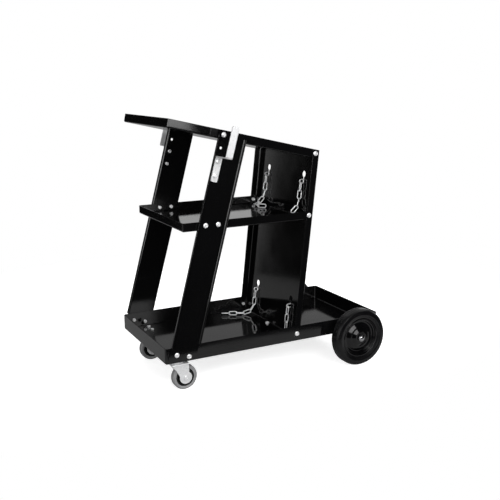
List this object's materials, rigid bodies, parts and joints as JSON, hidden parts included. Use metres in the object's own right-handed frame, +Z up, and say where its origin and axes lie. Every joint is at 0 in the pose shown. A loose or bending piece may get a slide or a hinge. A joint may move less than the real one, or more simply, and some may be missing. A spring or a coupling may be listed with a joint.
{
  "type": "welding cart",
  "caption": "Three-tier welding cart of black sheet metal with a sloping top tray, a rear cylinder bay with chains, cable hooks, swivel castors and large rear wheels.",
  "frame": {"origin": "on the floor under the middle of the base tray", "axes": "+Z up, +X towards the large wheels and the cylinder bay, -X towards the castors, +Y the right side"},
  "size_m": [0.72, 0.4832, 0.7723],
  "materials": {
    "black_coat": "gloss",
    "zinc": "satin",
    "black_rubber": "matte",
    "grey_rubber": "matte",
    "black_plastic": "satin"
  },
  "bodies": {
    "frame": {"base_tray": "black_coat", "middle_shelf": "black_coat", "top_tray": "black_coat", "rear_panel": "black_coat", "front_leg_left": "black_coat", "cable_hook_left": "zinc", "bolt_top_leg_left": "zinc", "bolt_hook_upper_left": "zinc", "bolt_hook_lower_left": "zinc", "bolt_shelf_leg_front_left": "zinc", "bolt_shelf_leg_rear_left": "zinc", "bolt_base_leg_front_left": "zinc", "bolt_base_leg_rear_left": "zinc", "bolt_panel_top_left": "zinc", "bolt_panel_shelf_left": "zinc", "bolt_panel_base_left": "zinc", "front_leg_right": "black_coat", "cable_hook_right": "zinc", "bolt_top_leg_right": "zinc", "bolt_hook_upper_right": "zinc", "bolt_hook_lower_right": "zinc", "bolt_shelf_leg_front_right": "zinc", "bolt_shelf_leg_rear_right": "zinc", "bolt_base_leg_front_right": "zinc", "bolt_base_leg_rear_right": "zinc", "bolt_panel_top_right": "zinc", "bolt_panel_shelf_right": "zinc", "bolt_panel_base_right": "zinc", "bolt_panel_foot": "zinc", "rear_axle": "zinc", "axle_saddle_left": "black_coat", "axle_cap_left": "zinc", "castor_plate_left": "zinc", "axle_saddle_right": "black_coat", "axle_cap_right": "zinc", "castor_plate_right": "zinc", "chain_upper_tail_right": "zinc", "chain_lower_tail_right": "zinc", "chain_upper_tail_left": "zinc", "chain_lower_link_left": "zinc"},
    "castor_yoke_left": {"castor_fork_left": "zinc", "castor_axle_left": "zinc"},
    "castor_wheel_left": {"castor_core_left": "black_plastic", "castor_tyre_left": "grey_rubber"},
    "rear_wheel_left": {"rear_rim_left": "black_plastic", "rear_tyre_left": "black_rubber"},
    "castor_yoke_right": {"castor_fork_right": "zinc", "castor_axle_right": "zinc"},
    "castor_wheel_right": {"castor_core_right": "black_plastic", "castor_tyre_right": "grey_rubber"},
    "rear_wheel_right": {"rear_rim_right": "black_plastic", "rear_tyre_right": "black_rubber"},
    "upper_loop": {"chain_upper_loop": "zinc"},
    "lower_loop": {"chain_lower_loop": "zinc"},
    "lower_tail_left": {"chain_lower_tail_left": "zinc"}
  },
  "joints": [
    {"name": "castor_swivel_left", "type": "hinge", "parent": "frame", "child": "castor_yoke_left", "pos_m": [-0.309, -0.135, 0.09], "axis": [0, 0, 1], "continuous": true},
    {"name": "castor_roll_left", "type": "hinge", "parent": "castor_yoke_left", "child": "castor_wheel_left", "pos_m": [-0.288, -0.135, 0.0375], "axis": [0, 1, 0], "continuous": true},
    {"name": "rear_wheel_roll_left", "type": "hinge", "parent": "frame", "child": "rear_wheel_left", "pos_m": [0.265, -0.212, 0.089], "axis": [0, 1, 0], "continuous": true},
    {"name": "castor_swivel_right", "type": "hinge", "parent": "frame", "child": "castor_yoke_right", "pos_m": [-0.309, 0.135, 0.09], "axis": [0, 0, 1], "continuous": true},
    {"name": "castor_roll_right", "type": "hinge", "parent": "castor_yoke_right", "child": "castor_wheel_right", "pos_m": [-0.288, 0.135, 0.0375], "axis": [0, 1, 0], "continuous": true},
    {"name": "rear_wheel_roll_right", "type": "hinge", "parent": "frame", "child": "rear_wheel_right", "pos_m": [0.265, 0.212, 0.089], "axis": [0, 1, 0], "continuous": true},
    {"name": "upper_loop_swing", "type": "hinge", "parent": "frame", "child": "upper_loop", "pos_m": [0.13391, 0, 0.57043], "axis": [0, -1, 0], "range_deg": [0, 60]},
    {"name": "lower_loop_swing", "type": "hinge", "parent": "frame", "child": "lower_loop", "pos_m": [0.09141, 0, 0.18743], "axis": [0, -1, 0], "range_deg": [0, 60]},
    {"name": "lower_tail_left_swing", "type": "hinge", "parent": "frame", "child": "lower_tail_left", "pos_m": [0.07541, -0.107, 0.18743], "axis": [0, 1, 0], "range_deg": [0, 60]}
  ]
}
